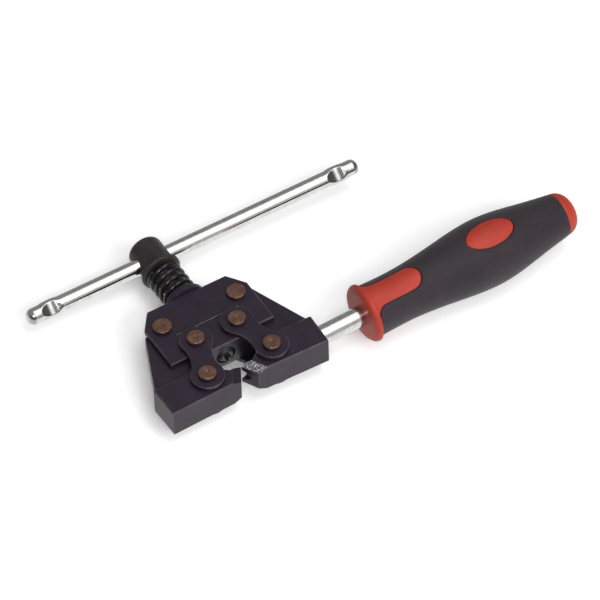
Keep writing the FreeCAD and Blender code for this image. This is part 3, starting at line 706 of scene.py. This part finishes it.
def support_plane():
    """The plane the tool lies on, under the grip's belly, one crosshead pin and the collar.

    It is a little lower than the CAD model's lowest corner, to clear the grip's oval inset, which stands
    slightly proud of the CAD model.
    """
    contacts = [min(shown_corners(node), key=lambda corner: corner.z)
                for node in ("handle_grip", "left_crosshead_pin", "thrust_collar")]
    normal = (contacts[1] - contacts[0]).cross(contacts[2] - contacts[0]).normalized()
    if normal.z < 0:
        normal.negate()
    depth = min(corner.dot(normal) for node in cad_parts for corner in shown_corners(node))
    return normal, depth - FLOOR_GAP


floor_normal, floor_depth = support_plane()
floor_corners = [(-FLOOR_HALF, -FLOOR_HALF, 0), (FLOOR_HALF, -FLOOR_HALF, 0),
                 (FLOOR_HALF, FLOOR_HALF, 0), (-FLOOR_HALF, FLOOR_HALF, 0)]
floor_mesh = plain_mesh("floor", floor_corners, [[0, 1, 2, 3]])
floor = bpy.data.objects.new("floor", floor_mesh)
bpy.context.collection.objects.link(floor)
floor.rotation_mode = "QUATERNION"
floor.rotation_quaternion = Vector((0, 0, 1)).rotation_difference(floor_normal)
floor.location = floor_normal * floor_depth
paper, _, paper_shader = new_material("pale_paper")
paper_shader.inputs["Roughness"].default_value = 0.9
paper_shader.inputs["Specular IOR Level"].default_value = 0.1
paper_shader.inputs["Base Color"].default_value = PAPER_WHITE
paper_shader.inputs["Emission Color"].default_value = PAPER_WHITE
paper_shader.inputs["Emission Strength"].default_value = PAPER_GLOW
floor_mesh.materials.append(paper)
floor.visible_glossy = False


def softbox(name, place, size, power, mirrored=False):
    """A soft light aimed at the tool; it shows in reflections only if it is mirrored."""
    light = bpy.data.lights.new(name, "AREA")
    light.shape = "RECTANGLE"
    light.size, light.size_y = size
    light.energy = power
    lamp = bpy.data.objects.new(name, light)
    bpy.context.collection.objects.link(lamp)
    lamp.location = place
    lamp.visible_glossy = mirrored
    lamp.rotation_mode = "QUATERNION"
    lamp.rotation_quaternion = (LIGHTS_AIM - Vector(place)).to_track_quat("-Z", "Y")


softbox("front_softbox", (0.5, -1.75, 1.0), (1.6, 1.5), 33)
softbox("left_softbox", (-0.8, -1.45, 1.9), (0.7, 0.7), 16, mirrored=True)
softbox("top_softbox", (0.45, -0.15, 2.0), (1.3, 1.0), 11)

world = bpy.data.worlds.new("studio")
bpy.context.scene.world = world
world.use_nodes = True
sky = world.node_tree
sky.nodes.clear()
direction = sky.nodes.new("ShaderNodeTexCoord")
parts = sky.nodes.new("ShaderNodeSeparateXYZ")
sky.links.new(direction.outputs["Generated"], parts.inputs["Vector"])


def band(value, start, end, low, high):
    """Strength that goes from low to high as a value goes from start to end; low and high may be sockets."""
    span = sky.nodes.new("ShaderNodeMapRange")
    for socket, setting in zip(("From Min", "From Max", "To Min", "To Max"), (start, end, low, high)):
        if isinstance(setting, (int, float)):
            span.inputs[socket].default_value = setting
        else:
            sky.links.new(setting, span.inputs[socket])
    span.interpolation_type = "SMOOTHSTEP"
    sky.links.new(value, span.inputs["Value"])
    return span.outputs["Result"]


def maths(operation, *values):
    node = sky.nodes.new("ShaderNodeMath")
    node.operation = operation
    for socket, value in zip(node.inputs, values):
        if isinstance(value, (int, float)):
            socket.default_value = value
        else:
            sky.links.new(value, socket)
    return node.outputs["Value"]


# A bright strip overhead, a little to the right, comes halfway down in front over a dark band at the
# horizon. The light is dim at the sides and behind, and the ground is pale.
sideways = maths("ABSOLUTE", maths("SUBTRACT", parts.outputs["X"], 0.31))
column = band(sideways, 0.03, 0.28, 2.3, 0.38)
horizon = band(parts.outputs["Z"], 0.42, 0.74, 0.30, 1.0)
around = band(parts.outputs["Y"], 0.05, 0.50, maths("MULTIPLY", column, horizon), 0.34)
ground = band(parts.outputs["Z"], -0.30, 0.08, 0.68, 0.0)
strength = maths("ADD", around, ground)
glow = sky.nodes.new("ShaderNodeBackground")
sky.links.new(strength, glow.inputs["Strength"])
surround = sky.nodes.new("ShaderNodeOutputWorld")
sky.links.new(glow.outputs["Background"], surround.inputs["Surface"])

camera_data = bpy.data.cameras.new("camera")
camera_data.lens = 342.45
camera_data.sensor_width = 36.0
camera_data.clip_start = 0.05
camera_data.clip_end = 30.0
camera = bpy.data.objects.new("camera", camera_data)
bpy.context.collection.objects.link(camera)
right_way = (0.85604696, -0.51634158, -0.02397863)
up_way = (0.40724828, 0.64515872, 0.6464666)
back_way = (-0.31832757, -0.56317103, 0.76256538)
stand = Matrix((right_way, up_way, back_way)).transposed().to_4x4()
stand.translation = (-0.796915, -1.462379, 2.018755)
camera.matrix_world = stand
bpy.context.scene.camera = camera
bpy.context.scene.view_settings.view_transform = "Standard"
